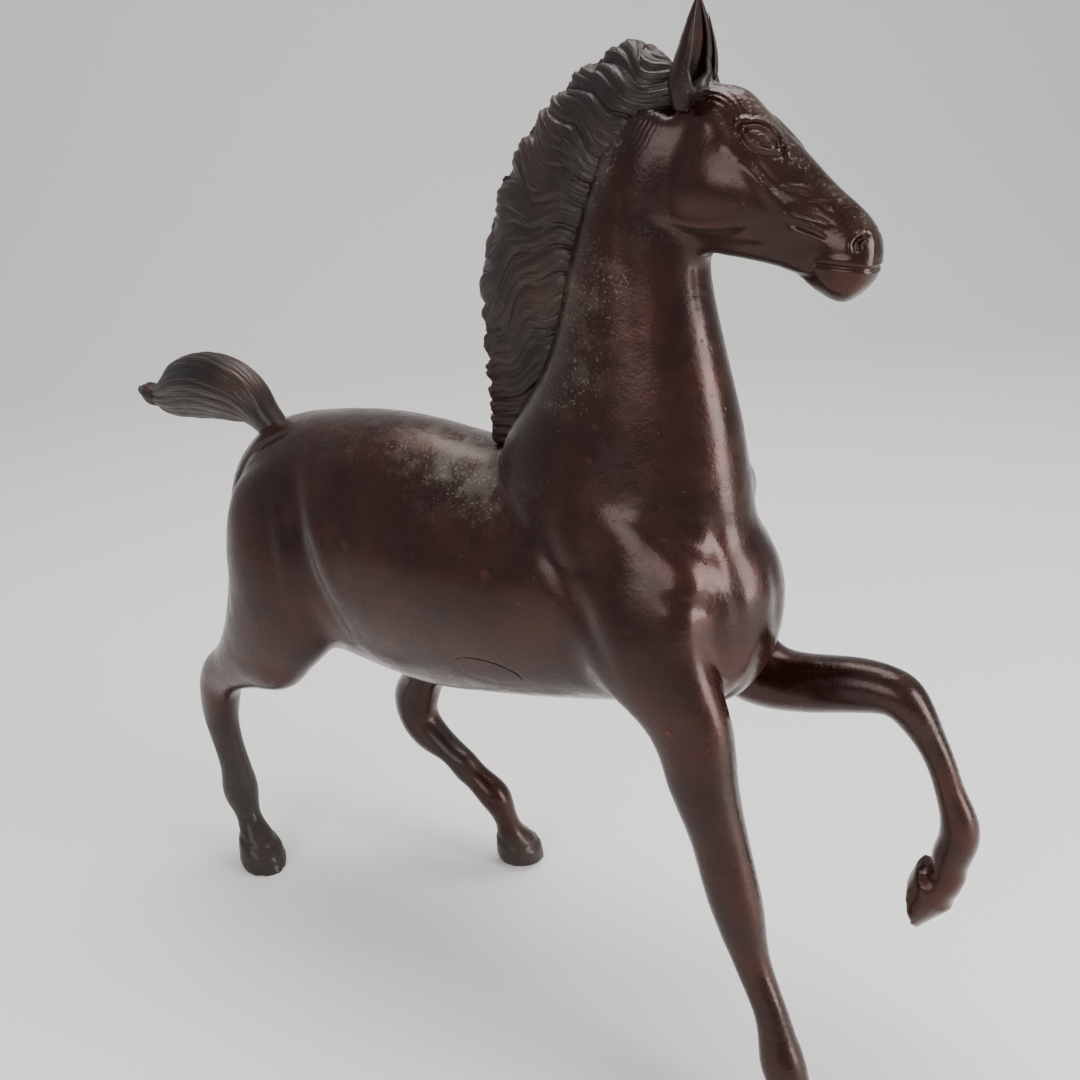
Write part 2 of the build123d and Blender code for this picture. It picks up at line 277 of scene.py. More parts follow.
MID = 4.488                                # the horse's plane of symmetry, along Y
POLL = np.array([113.2, MID, 412.0])       # top of the head, between the ears
ALONG = np.array([0.852, 0.0, -0.523])     # from the poll to the nose
UPRIGHT = np.array([0.523, 0.0, 0.852])    # square to it, up from the face
HEAD_FLOOR = -60                           # along UPRIGHT; the neck and body lie below it
VOXEL = 1.4                                # the head is refined afterwards

BODY = [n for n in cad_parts
        if n not in ("right_ear", "left_ear", "mane_casting", "tail_casting")]

LIMB_JOINS = [  # centre and radius of each place where a limb flows into the trunk
    ((118, -22, 205), 42), ((118, 32, 200), 42), ((-80, -26, 190), 48), ((-62, 32, 190), 48),
    ((100, MID, 290), 45), ((112, MID, 365), 34), ((-100, -28, 150), 30), ((107, MID, 398), 22),
    ((-124, -30, 140), 24),
]


def stops():
    """Balls that stop the tail's socket and the peg holes of the ears."""
    lo, hi = [np.array(c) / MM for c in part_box("tail_pin")]
    socket = np.array([(lo[0] + hi[0]) / 2, MID, lo[2] + 6.3])
    rows = [(socket, (0.707, 0, -0.707), range(-13, 12, 4), 5.6),   # point, way, steps, radius
            ((119.2, -6.0, 411), (0.284, -0.152, 0.947), (-8, -6, -4, -2), 2.7),
            ((115.2, 15.0, 409), (-0.106, 0.34, 0.935), (-8, -6, -4, -2), 2.7)]
    return [ball(np.array(p) + np.array(way) * k, r) for p, way, steps, r in rows for k in steps]


def mirrored(path):
    """The same path on the other side of the horse."""
    p = np.array(path, float)
    p[..., 1] = 2 * MID - p[..., 1]
    return p


skin = Skin(*voxel_union(BODY, stops(), VOXEL))
skin.even(8)

joins = np.zeros(len(skin.v))
for centre, radius in LIMB_JOINS:
    d = np.linalg.norm(skin.v - np.array(centre), axis=1)
    joins = np.maximum(joins, 1 - smoothstep(d, radius * 0.75, radius * 1.15))
skin.fill_hollows(60, 0.12 + 0.88 * joins)
skin.smooth(8, 0.2 + 0.8 * joins)

breast = 1 - smoothstep(np.linalg.norm(skin.v - np.array((131, MID, 256)), axis=1), 20, 38)
skin.smooth(50, breast)

# ------------------------------------------------------------------ head


def whole_head(s, h):
    return (s > -10) & (h > HEAD_FLOOR)


def eye_and_muzzle(s, h):
    near_eye = np.hypot(s - 39.5, h + 2) < 13
    muzzle = (s > 50) & (h > -30)
    return (near_eye | muzzle) & (s > 0) & (h > HEAD_FLOOR)


for region, rounds in ((whole_head, 3), (eye_and_muzzle, 2)):
    centres = skin.v[skin.t].mean(axis=1) - POLL
    chosen = region(centres @ ALONG, centres @ UPRIGHT)
    skin = Skin(*refine(skin.v, skin.t, chosen))
    skin.even(rounds)


def head_space():
    """Millimetres from the poll along the head, upright and across, and how far a face looks aside."""
    rel = skin.v - POLL
    side = np.abs(skin.normals()[:, 1])
    return rel @ ALONG, rel @ UPRIGHT, rel[:, 1], side


def mark(path, width, depth, lip=0.0, taper=True, front=False, low=0.25):
    """Groove or ridge drawn on both cheeks; path in (along, upright) millimetres."""
    s, h, _, side = head_space()
    amount = stroke_profile(np.stack([s, h], 1), path, width, depth, lip, 1.8, taper)
    facing = smoothstep(side, low, low + 0.3)
    if front:                                     # it runs on over the front of the muzzle
        facing = np.maximum(facing, smoothstep(skin.normals() @ ALONG, 0.2, 0.5))
    skin.push(amount * facing * (h > HEAD_FLOOR) * (s > -12))


def swell(s0, h0, rs, rh, height, turn=0.0):
    """Swelling (or dent) on both cheeks, with radii rs and rh, turned by some degrees."""
    s, h, _, side = head_space()
    c, k = math.cos(math.radians(turn)), math.sin(math.radians(turn))
    a, b = (s - s0) * c + (h - h0) * k, -(s - s0) * k + (h - h0) * c
    amount = height * np.exp(-((a / rs) ** 2 + (b / rh) ** 2))
    skin.push(amount * smoothstep(side, 0.2, 0.5) * (h > HEAD_FLOOR))


swell(31, -22, 15, 13, 1.5)                      # flat plate of the cheek
swell(62, -9, 13, 5, -1.3, turn=-8)              # hollow below the nasal bone
swell(66, -24, 9, 5, -0.9)                       # hollow above the chin groove
swell(84, -15, 8, 7, 0.8)                        # lips and nostril
swell(19.5, -5.2, 4.6, 3.6, 1.1)                 # hinge of the jaw
swell(31, -7.4, 4.5, 3.2, 0.8, turn=-20)         # bone behind the eye
swell(26, -1, 4, 2.6, -0.8, turn=-15)            # hollow over the eye
mark([(37, -8.5), (46, -10.6), (55, -13.4), (64, -15.5)], 2.0, -1.2)      # facial crest
mark([(41, -6.4), (47, -8.2), (55, -10.6), (61, -8.0)], 1.2, 0.6)        # groove above it
# veins of the muzzle, each a ridge with a groove beside it
mark([(54, -9.4), (58, -7.0), (63, -6.2)], 0.9, -0.75)
mark([(58, -12.6), (64, -9.2), (70, -6.6)], 1.0, -0.8)
mark([(60, -11.0), (66, -8.2), (72, -8.4)], 0.6, 0.6)
mark([(58, -16.4), (66, -14.4), (74, -13.6)], 1.1, -0.75)
mark([(61, -14.0), (68, -12.0), (75, -11.0)], 0.6, 0.6)
mark([(63, -19.8), (69, -17.6), (75, -16.8)], 1.1, -0.6)
mark([(62, -17.8), (69, -15.8), (76, -15.2)], 0.6, 0.5)
# jaw: drawn in below, a groove along its edge, and the cheek's rim above
mark([(26, -45.5), (36, -43.5), (46, -38), (56, -31), (66, -27)], 3.2, 1.3)
mark([(20, -43), (30, -42), (40, -37), (50, -30), (57, -21)], 2.3, 1.1)
mark([(21, -39), (31, -37.5), (41, -32), (49, -25)], 2.6, -0.9)
# fine folds between ear and eye
for k in range(5):
    r = 9.5 + 1.75 * k
    arc = [(21 + r * math.cos(a), -6.5 + 0.85 * r * math.sin(a))
           for a in np.linspace(2.6 - 0.05 * k, 0.65 + 0.04 * k, 7)]
    mark(arc, 0.55, 0.32, lip=0.1, low=0.1)

# nostril: comma-shaped opening with a raised wing
mark([(84.2, -7.6), (82.2, -10.2), (83.4, -14.0), (87.2, -14.6)], 1.1, -0.55, front=True)
mark([(85.0, -9.6), (84.6, -11.4), (86.0, -12.8)], 1.0, 1.5, taper=False, front=True)
# mouth, its lips and corner, and the chin
mark([(77.0, -24.6), (81, -22.4), (85.7, -20.0), (90, -17.8), (94, -16.6)], 0.7, 0.7,
     lip=0.15, taper=False, front=True)
mark([(77.8, -21.6), (83, -18.8), (89, -15.6)], 1.3, -0.5, front=True)
mark([(74.5, -27.5), (76.0, -24.0), (75.0, -21.0)], 1.3, 0.3)
swell(85, -28, 5, 3.6, 0.8)
mark([(70, -35), (76, -31.5), (79, -27)], 1.4, 0.7)

# short chased strokes behind the ear
s, h, _, side = head_space()
brushed = np.exp(-(((s + 1) / 6.5) ** 2 + ((h + 14) / 9.5) ** 2)) * smoothstep(side, 0.2, 0.6)
waves = np.sin(2 * np.pi * s / 1.9 + 1.4 * np.sin(h / 2.6) + 0.6 * np.sin(h / 1.1))
skin.push(0.15 * brushed * waves)

# hollow between the two jaw bones
s, h, y, _ = head_space()
under = np.exp(-(y / 5.0) ** 2) * smoothstep(-(skin.normals() @ UPRIGHT), 0.3, 0.8)
skin.push(-2.2 * under * smoothstep(s, 22, 36) * (1 - smoothstep(s, 68, 80)))


def shape_eye(mirror):
    """Eyeball, lids and brow of one eye, pushed square to the eye's own plane."""
    eye = np.array([145.9, MID + mirror * (-5.1 - MID), 390.6])
    out = np.array([0.46, -0.73 * mirror, 0.50])
    out /= np.linalg.norm(out)
    fore = ALONG * 0.985 + UPRIGHT * 0.17         # from the outer to the inner corner
    fore -= out * (fore @ out)
    fore /= np.linalg.norm(fore)
    lift = np.cross(out, fore) * mirror
    rel = skin.v - eye
    p, q, w = rel @ fore, rel @ lift, rel @ out
    half, upper, lower = 6.2, 3.1, 2.2            # half length and the two heights of the opening
    u = np.clip(np.abs(p) / half, 0, 1)
    lens = (1 - u ** 2) ** 0.75
    edge = np.where(q > 0, upper * lens, lower * lens)
    gap = np.where(np.abs(p) < half, np.abs(q) - edge, np.hypot(np.abs(p) - half, q))

    def band(middle, width):
        return np.exp(-((gap - middle) / width) ** 2)

    inside = 1 - smoothstep(gap, -0.35, 0.15)
    dome = np.clip(1 - (p / 5.9) ** 2 - (q / 3.9) ** 2, 0, 1) ** 0.5
    amount = inside * (1.55 * dome - 0.75)                           # eyeball in its socket
    amount += 0.95 * band(0.85, 0.75) * (1 - inside)                 # lids
    amount -= 0.55 * band(2.2, 0.5) * smoothstep(q, -2.5, 0.5)       # fold of the upper lid
    amount += 0.75 * band(3.7, 1.3) * smoothstep(q, -1.0, 1.5)       # brow
    amount -= 0.45 * band(2.4, 0.8) * smoothstep(-q, -0.5, 1.5)      # fold of the lower lid
    pupil = np.hypot(p - 0.3, q - 0.2)
    amount -= 0.12 * np.exp(-((pupil - 2.0) / 0.3) ** 2) * inside    # chased ring of the iris
    amount -= 0.15 * np.exp(-(pupil / 0.8) ** 2) * inside
    away = np.linalg.norm(rel, axis=1)
    near = (away < 15) & (w > -7)
    skin.push(np.where(near, amount * (1 - smoothstep(away, 8.5, 13.5)), 0), out)


for mirror in (1, -1):                            # right eye, left eye
    shape_eye(mirror)

# ------------------------------------------------------------------ trunk, legs and hooves

THIGH_LEAD = 14      # the left thigh stands this much further forward than the right one

for side, lead in ((np.array, 0), (mirrored, THIGH_LEAD)):
    ahead = np.array((lead, 0, 0))
    skin.stroke(side(ahead + [(-78, -29, 252), (-68, -36, 234), (-62, -40.5, 210), (-55, -40, 194),
                              (-50.5, -36.5, 178), (-46, -31, 168)]), 6.0, 1.7)   # front of the thigh
    skin.stroke(side(ahead + [(-87, -32, 246), (-80, -39, 225), (-76, -42, 205), (-75, -43, 188)]),
                6.0, -1.3)                                         # swell behind it
    skin.stroke(side(ahead + [(-64, -32, 243), (-54, -38, 222), (-46, -40, 200)]), 6.0, -0.9)
    skin.stroke(side([(-90, -12, 264), (-105, -16, 259), (-118, -17, 250), (-126, -24, 235),
                      (-129, -31, 216), (-128, -38, 196), (-122, -42, 172)]), 2.6, 1.1)  # buttock
    skin.stroke(side([(70, -29, 268), (68, -34, 248), (77, -38, 231), (91, -41, 215),
                      (101, -44, 202), (104, -43, 190)]), 5.5, 1.1, lip=0.2)  # back of the shoulder
    skin.stroke(side([(108, -26, 268), (104, -34, 240), (110, -40, 215)]), 9.0, -0.9)
    skin.stroke(side([(97, -13, 380), (98, -15, 350), (101, -15, 320), (104, -14, 295)]),
                3.5, 0.5)                                          # neck
    skin.blob(side((130.5, -25.8, 238)), (13, 12, 12), 1.9)        # point of the shoulder
    skin.blob(side((131, -33, 221)), (11, 10, 11), 1.5)
    skin.stroke(side([(122, -38, 232), (129, -33, 229), (136, -24, 225)]), 3.6, 0.7)
    skin.stroke(side([(127, -9, 268), (132, -12, 250), (138, -15, 236), (143, -15, 212),
                      (139, -11, 188)]), 3.8, 0.8)                 # edge of the breast muscle
skin.blob((-106, -29.5, 136), (15, 16, 12), 4.0)                   # lower bulge of the right thigh

# faint line round the patch over the core window
lo, hi = np.array(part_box("core_window_patch")) / MM
x, y, z = ((skin.v - (lo + hi) / 2) / (hi - lo) * 2).T
rim = (np.hypot(x, z) - 1) * (hi - lo)[2] / 2
skin.push(-0.18 * np.exp(-(rim / 0.8) ** 2) * (skin.v[:, 1] < 0) * (np.abs(y) < 4))

# middle of the breast, and the fold inside the right foreleg
skin.stroke([(150, MID, 240), (149, MID, 215), (140, MID, 190)], 3.4, 0.8)
skin.stroke([(138.5, -7.5, 199), (140, -8, 188), (136, -8, 178), (130, -12, 170)], 2.2, 1.6)

# hooves on the ground: a coronet line above a slightly rough wall
x, y, z = skin.v.T
for hx, hy, level in ((192.2, -48.5, 14.5), (-148.3, -32.0, 15.0), (-21.3, 49.5, 15.0)):
    near = (np.hypot(x - hx, y - hy) < 24) & (z < 30)
    line = level - 0.30 * (x - hx)                # it drops towards the toe
    amount = -0.65 * np.exp(-((z - line) / 1.3) ** 2) + 0.35 * np.exp(-((z - line + 3.5) / 2) ** 2)
    amount += 0.22 * wobble(skin.v, 5, 17) * smoothstep(z, 1.5, 4) * (z < line)
    skin.push(np.where(near, amount, 0), skin.normals() * (1, 1, 0))

# uneven surface of a hand-finished casting, calmer on the head
lumps = wobble(skin.v, 34, 3) * 0.10 + wobble(skin.v, 7, 5) * 0.025
s, h, _, _ = head_space()
skin.push(lumps * (1 - 0.75 * smoothstep(s, -5, 12) * (h > HEAD_FLOOR)))


# ------------------------------------------------------------------ cut into the castings

CUTS = [  # piece, point on the joint, way out of the trunk, reach of the cut
    ("head_and_neck_casting", (88.2, 4.5, 285.0), (0.152, 0.0, 0.988), 75),
    ("right_foreleg_casting", (129.7, -28.5, 171.0), (0.375, -0.043, -0.926), 30),
    ("left_foreleg_casting", (137.5, 35.0, 164.0), (0.917, -0.067, -0.391), 30),
    ("right_hind_leg_casting", (-130.8, -29.5, 141.0), (-0.772, 0.023, -0.636), 30),
    ("left_hind_leg_casting", (-59.5, 39.5, 139.5), (0.068, 0.023, -0.997), 32),
]


def cut_skin(v, t, n):
    """Cut the closed surface at the joints; n are normals that both sides of a cut keep."""
    bm = bmesh.new()
    mesh = new_mesh("cut", v, t)
    bm.from_mesh(mesh)
    layers = [bm.verts.layers.float.new(k) for k in "xyz"]
    bm.verts.ensure_lookup_table()
    for i, vert in enumerate(bm.verts):
        for k in range(3):
            vert[layers[k]] = n[i, k]
    seam = []
    for name, point, way, reach in CUTS:
        p, w = Vector(point) * MM, Vector(way).normalized()
        near = [f for f in bm.faces if (f.calc_center_median() - p).length < reach * MM]
        geom = near + once(e for f in near for e in f.edges) + once(q for f in near for q in f.verts)
        cut = bmesh.ops.bisect_plane(bm, geom=geom, plane_co=p, plane_no=w, dist=1e-7)
        seam += [g for g in cut["geom_cut"] if isinstance(g, bmesh.types.BMEdge)]
    bmesh.ops.split_edges(bm, edges=seam)
    bmesh.ops.triangulate(bm, faces=bm.faces[:])
    bm.verts.index_update()
    normals = np.array([[vert[k] for k in layers] for vert in bm.verts])
    normals /= np.linalg.norm(normals, axis=1, keepdims=True) + 1e-12
    bm.to_mesh(mesh)
    bm.free()
    v, t = arrays_of(mesh)
    bpy.data.meshes.remove(mesh)
    return v, t, normals


def open_loops(t):
    """Vertices round each open boundary, in the order that caps it facing outward."""
    e = np.vstack([t[:, [0, 1]], t[:, [1, 2]], t[:, [2, 0]]])
    key = np.sort(e, axis=1)
    _, first, count = np.unique(key, axis=0, return_index=True, return_counts=True)
    follow = {int(b): int(a) for a, b in e[first[count == 1]]}
    loops = []
    while follow:
        start, nxt = follow.popitem()
        loop = [start]
        while nxt != start:
            loop.append(nxt)
            nxt = follow.pop(nxt)
        loops.append(loop)
    return loops


def solid_piece(name, v, t, n):
    """A closed object with a fan over each cut; its skin keeps the normals of the whole body."""
    faces, verts = [t], [v]
    for fan, loop in enumerate(open_loops(t)):
        verts.append(v[loop].mean(axis=0)[None])
        ring = np.array(loop)
        middle = np.full(len(ring), len(v) + fan)
        faces.append(np.stack([ring, np.roll(ring, -1), middle], 1))
    all_verts, all_faces = np.vstack(verts), np.vstack(faces)
    mesh = new_mesh(name, all_verts, all_faces)
    mesh.shade_smooth()
    p = all_verts[all_faces]
    flat = np.cross(p[:, 1] - p[:, 0], p[:, 2] - p[:, 0])
    flat /= np.linalg.norm(flat, axis=1, keepdims=True) + 1e-12
    corner = np.repeat(flat[:, None], 3, axis=1)
    corner[:len(t)] = n[t]
    mesh.normals_split_custom_set(corner.reshape(-1, 3).tolist())
    return new_object(name, mesh)


def casting_at(points):
    """The casting whose box is nearest to the box of the points."""
    reach = np.array([points.min(axis=0), points.max(axis=0)])
    names = [cut[0] for cut in CUTS] + ["trunk_casting"]
    return min(names, key=lambda name: np.abs(reach - np.array(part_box(name)) / MM).max())


v, t, n = cut_skin(skin.v, skin.t, skin.normals())
label = connected_parts(len(v), t)
PIECES = {}
for k in np.unique(label):
    keep = label == k
    name = casting_at(v[keep])
    obj = solid_piece(name.replace("_casting", "_bronze"), v[keep], kept_triangles(t, keep), n[keep])
    PIECES[name] = obj
    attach(obj, "root")
    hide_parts(name)
assert len(PIECES) == len(CUTS) + 1, sorted(PIECES)

# ------------------------------------------------------------------ materials


GRIME = ((0.014, 0.011, 0.009), (0.060, 0.050, 0.041))    # dark and light of the dull places


def attribute(obj, name, values):
    layer = obj.data.attributes.new(name, "FLOAT", "POINT")
    layer.data.foreach_set("value", np.asarray(values, np.float32))


def patina(name, dark, light, dust, rough, coat, metal, grain=1.0):
    """Lacquered bronze: mottled brown, orange-peel skin, pits, and dust where it settles."""
    mat = bpy.data.materials.new(name)
    mat.use_nodes = True
    tree = mat.node_tree
    nodes, links = tree.nodes, tree.links
    nodes.clear()

    def node(kind, **settings):
        made = nodes.new(kind)
        for key, value in settings.items():
            setattr(made, key, value)
        return made

    def noise(scale, detail, roughness=0.55):
        made = node("ShaderNodeTexNoise")
        made.inputs["Scale"].default_value = scale
        made.inputs["Detail"].default_value = detail
        made.inputs["Roughness"].default_value = roughness
        links.new(place.outputs["Object"], made.inputs["Vector"])
        return made.outputs["Fac"]

    def span(value, a, b, c=0.0, d=1.0):
        made = node("ShaderNodeMapRange", interpolation_type="SMOOTHSTEP")
        links.new(value, made.inputs["Value"])
        for key, number in zip(("From Min", "From Max", "To Min", "To Max"), (a, b, c, d)):
            made.inputs[key].default_value = number
        return made.outputs["Result"]

    def maths(kind, a, b):
        made = node("ShaderNodeMath", operation=kind)
        for socket, value in zip(made.inputs, (a, b)):
            if isinstance(value, (int, float)):
                socket.default_value = value
            else:
                links.new(value, socket)
        return made.outputs[0]

    def mix(fac, a, b):
        made = node("ShaderNodeMix", data_type="RGBA")
        links.new(fac, made.inputs[0])
        for socket, value in ((made.inputs[6], a), (made.inputs[7], b)):
            if isinstance(value, tuple):
                socket.default_value = (*value, 1)
            else:
                links.new(value, socket)
        return made.outputs[2]

    def layer(key):
        return node("ShaderNodeAttribute", attribute_name=key).outputs["Fac"]

    place = node("ShaderNodeTexCoord")
    out = node("ShaderNodeOutputMaterial")
    shader = node("ShaderNodeBsdfPrincipled")
    links.new(shader.outputs[0], out.inputs[0])

    clouds = span(noise(30, 6), 0.32, 0.70)
    fine = noise(1150, 3, 0.6)
    peel = noise(620, 2, 0.5)
    speck = span(noise(820, 2, 0.7), 0.57, 0.70)
    patch = span(noise(95, 4), 0.42, 0.62)
    pits = node("ShaderNodeTexVoronoi")
    pits.inputs["Scale"].default_value = 210
    pits.inputs["Randomness"].default_value = 1.0
    links.new(place.outputs["Object"], pits.inputs["Vector"])
    pit = maths("MULTIPLY", span(pits.outputs["Distance"], 0.20, 0.06),
                span(noise(160, 2), 0.56, 0.66))
    cavity = layer("cavity")
    dull = layer("dull")

    # mottled bronze, darker in hollows, under speckled dust and grime
    colour = mix(clouds, dark, light)
    colour = mix(maths("MULTIPLY", cavity, 0.85), colour, tuple(0.35 * c for c in dark))
    specks = maths("ADD", maths("MULTIPLY", patch, 0.25), maths("MULTIPLY", speck, 0.75))
    settled = maths("MULTIPLY", layer("dust"), maths("ADD", specks, 0.22))
    settled = span(settled, 0.05, 1.05)
    colour = mix(settled, colour, dust)
    colour = mix(maths("MULTIPLY", dull, 0.8), colour, mix(fine, *GRIME))
    links.new(colour, shader.inputs["Base Color"])

    # rougher where it is dusty, dull or hollow
    gloss = span(patch, 0, 1, rough, rough + 0.10)
    for value, share in ((settled, 0.40), (dull, 0.30), (cavity, 0.20)):
        gloss = maths("ADD", gloss, maths("MULTIPLY", value, share))
    links.new(maths("MINIMUM", gloss, 0.95), shader.inputs["Roughness"])
    links.new(maths("MULTIPLY", maths("SUBTRACT", 1.0, settled), metal), shader.inputs["Metallic"])
    shader.inputs["Coat Weight"].default_value = coat
    shader.inputs["Coat Roughness"].default_value = 0.17
    shader.inputs["IOR"].default_value = 1.45

    # orange peel, grain, dust, pits, and coarser grime
    height = maths("ADD", maths("MULTIPLY", peel, 0.55), maths("MULTIPLY", fine, 0.30))
    height = maths("ADD", height, maths("MULTIPLY", settled, 0.25))
    height = maths("SUBTRACT", height, maths("MULTIPLY", pit, 1.2))
    height = maths("ADD", height, maths("MULTIPLY", maths("MULTIPLY", dull, noise(2100, 3)), 1.2))
    bump = node("ShaderNodeBump")
    bump.inputs["Strength"].default_value = 0.55 * grain
    bump.inputs["Distance"].default_value = 0.00035
    links.new(height, bump.inputs["Height"])
    links.new(bump.outputs[0], shader.inputs["Normal"])
    return mat


BROWN = patina("brown_patina", (0.020, 0.0052, 0.0028), (0.042, 0.0102, 0.0052),
               (0.150, 0.135, 0.100), 0.24, 0.22, metal=0.6)
BLACK = patina("hair_patina", (0.013, 0.0085, 0.0068), (0.040, 0.020, 0.0135),
               (0.120, 0.108, 0.088), 0.38, 0.10, metal=0.4, grain=1.6)
HIDDEN = patina("pin_bronze", (0.042, 0.014, 0.009), (0.085, 0.026, 0.015),
                (0.12, 0.11, 0.09), 0.30, 0.2, metal=0.7)


def on_the_head(v):
    rel = v - POLL
    return smoothstep(rel @ ALONG, -8, 6) * (rel @ UPRIGHT > HEAD_FLOOR)


def body_dust(v, n, up, cavity):
    """Dust on the back and withers, the face, the throat and the foot of the mane."""
    x, y, z = v.T
    head = on_the_head(v)
    back = np.exp(-(((x - 30) / 62) ** 2 + ((z - 262) / 26) ** 2))
    withers = np.exp(-(((x - 38) / 34) ** 2 + ((z - 255) / 17) ** 2)) * (y < MID + 40)
    face = head * smoothstep(n @ UPRIGHT, 0.35, 0.9)
    throat = np.exp(-(((x - 112) / 16) ** 2 + ((z - 362) / 9) ** 2))
    crest = smoothstep(86 + 0.28 * (z - 300) - x, -12, 4) * smoothstep(z, 285, 300)
    dust = up * (0.42 + 0.5 * back) + 0.55 * withers
    for share in (0.85 * face, 0.5 * cavity * head, 0.45 * throat, 0.8 * crest * (1 - head)):
        dust = np.maximum(dust, share)
    return dust * (0.8 + 0.35 * wobble(v, 30, 11))


def body_dull(v, n):
    """Dull hind legs (the right one most), hooves and underside of the head."""
    x, y, z = v.T
    legs = ((x < -40) & (z < 125)) * smoothstep(125 - z, 0, 60) * np.where(y < MID, 1.0, 0.35)
    hooves = 0.75 * smoothstep(24 - z, 0, 10)
    jaw = 0.7 * smoothstep(-(n @ UPRIGHT), 0.35, 0.8) * on_the_head(v)
    return np.maximum(np.maximum(legs, hooves), jaw)


def weather(obj, hair):
    """Store on the mesh where it is dusty, hollow and dull."""
    v, t = arrays_of(obj.data)
    surface = Skin(v, t)
    n = surface.normals()
    up = smoothstep(n[:, 2], 0.30, 0.95)
    bend = ((surface.neighbours_mean(v) - v) * n).sum(1)
    for _ in range(6):
        bend = surface.neighbours_mean(bend[:, None])[:, 0]
    cavity = smoothstep(bend, 0.015, 0.16)
    if hair:
        dust = 0.25 * up + 0.5 * smoothstep(-bend, 0.02, 0.2) * up
        dull = np.zeros(len(v))
    else:
        dust = body_dust(v, n, up, cavity)
        dull = body_dull(v, n)
    attribute(obj, "dust", np.clip(dust, 0, 1))
    attribute(obj, "cavity", cavity)
    attribute(obj, "dull", np.clip(dull, 0, 1))


def finish_piece(obj, mat):
    obj.data.materials.clear()
    obj.data.materials.append(mat)
    weather(obj, hair=mat is BLACK)


for obj in PIECES.values():
    finish_piece(obj, BROWN)


# ------------------------------------------------------------------ mane, tail and ears


def spline(rows, count):
    """Smooth curve through table rows, sampled evenly; returns rows and their arc lengths."""
    p = np.array(rows, float)
    p = np.vstack([2 * p[0] - p[1], p, 2 * p[-1] - p[-2]])
    out = []
    for i in range(1, len(p) - 2):
        u = np.linspace(0, 1, 40, endpoint=False)[:, None]
        a, b, c, d = p[i - 1:i + 3]
        out.append(0.5 * (2 * b + (c - a) * u + (2 * a - 5 * b + 4 * c - d) * u ** 2
                          + (3 * b - a - 3 * c + d) * u ** 3))
    out = np.vstack(out + [p[-2][None]])
    length = np.r_[0, np.cumsum(np.linalg.norm(np.diff(out[:, :2], axis=0), axis=1))]
    at = np.linspace(0, length[-1], count)
    return np.stack([np.interp(at, length, out[:, k]) for k in range(out.shape[1])], 1), at


def wrap(rings):
    """Closed surface from rings of points, with a point at each end."""
    count, around = rings.shape[:2]
    verts = np.vstack([rings.reshape(-1, 3), rings[0].mean(axis=0), rings[-1].mean(axis=0)])
    i, k = np.meshgrid(np.arange(count - 1), np.arange(around), indexing="ij")
    a, b = i * around + k, i * around + (k + 1) % around
    faces = np.concatenate([np.stack([a, b, b + around], -1).reshape(-1, 3),
                            np.stack([a, b + around, a + around], -1).reshape(-1, 3)])
    ring = np.arange(around)
    first, last = count * around, count * around + 1
    low = np.stack([np.roll(ring, -1), ring, np.full(around, first)], 1)
    top = (count - 1) * around
    high = np.stack([top + ring, top + np.roll(ring, -1), np.full(around, last)], 1)
    return verts, np.vstack([faces, low, high])


def swept(name, rings):
    """Smooth-shaded object from rings of points."""
    obj = new_object(name, new_mesh(name, *wrap(rings)))
    obj.data.shade_smooth()
    return obj


def hair_piece(name, rows, along, around, relief):
    """A swept mass of hair; relief(arc length, angle, outward reach, half depth) raises the locks."""
    table, arc = spline(rows, along)
    way = np.gradient(table[:, :2], axis=0)
    way /= np.linalg.norm(way, axis=1, keepdims=True)
    outward = np.stack([-way[:, 1], np.zeros(along), way[:, 0]], 1)
    angle = np.linspace(-np.pi, np.pi, around, endpoint=False)
    depth, width = table[:, 2], table[:, 3]
    l, th = np.meshgrid(arc, angle, indexing="ij")
    centre = np.stack([table[:, 0], np.full(along, MID), table[:, 1]], 1)
    reach = depth[:, None] * np.cos(th)
    flat = 0.80 + 0.20 * np.cos(th + np.pi)            # thinner on the outer side
    thick = width[:, None] * np.sin(th) * flat
    lift, edge = relief(l, th, reach, depth[:, None])
    scale = 1 + lift / (0.5 * (depth + width))[:, None]
    rings = (centre[:, None] + outward[:, None] * (reach * scale + edge)[..., None]
             + np.array([0, 1, 0]) * (thick * scale)[..., None])
    return swept(name, rings)


def ridge(phase):
    """Rounded lock with a sharp valley, from 0 to 1."""
    return np.abs(np.sin(np.pi * phase)) ** 0.55


MANE = [  # x, z, half depth, half width
    (19.0, 269, 3, 3), (25.5, 276, 9, 8), (34.5, 291, 17.5, 11.5), (42, 313, 24, 13.5),
    (46.2, 336, 26.5, 15), (53.2, 357, 26, 16), (63.2, 375, 25, 16.5), (77.2, 392, 22, 16),
    (92.5, 403.5, 19, 16.5), (103, 406, 16, 14.5), (112, 408.5, 8, 10),
]
TAIL = [  # the same columns
    (-117.5, 251, 8, 8), (-127.8, 261, 9.4, 9), (-138.8, 270, 13.6, 11.4),
    (-151.8, 274, 16.4, 13.4), (-167.8, 275, 17.4, 14.4), (-183.8, 272, 16, 13.4),
    (-197.8, 267, 11.8, 10.8), (-210.8, 264.5, 7.2, 7.2), (-220.8, 266, 4.6, 4.6),
    (-227.2, 267, 2.0, 2.0),
]


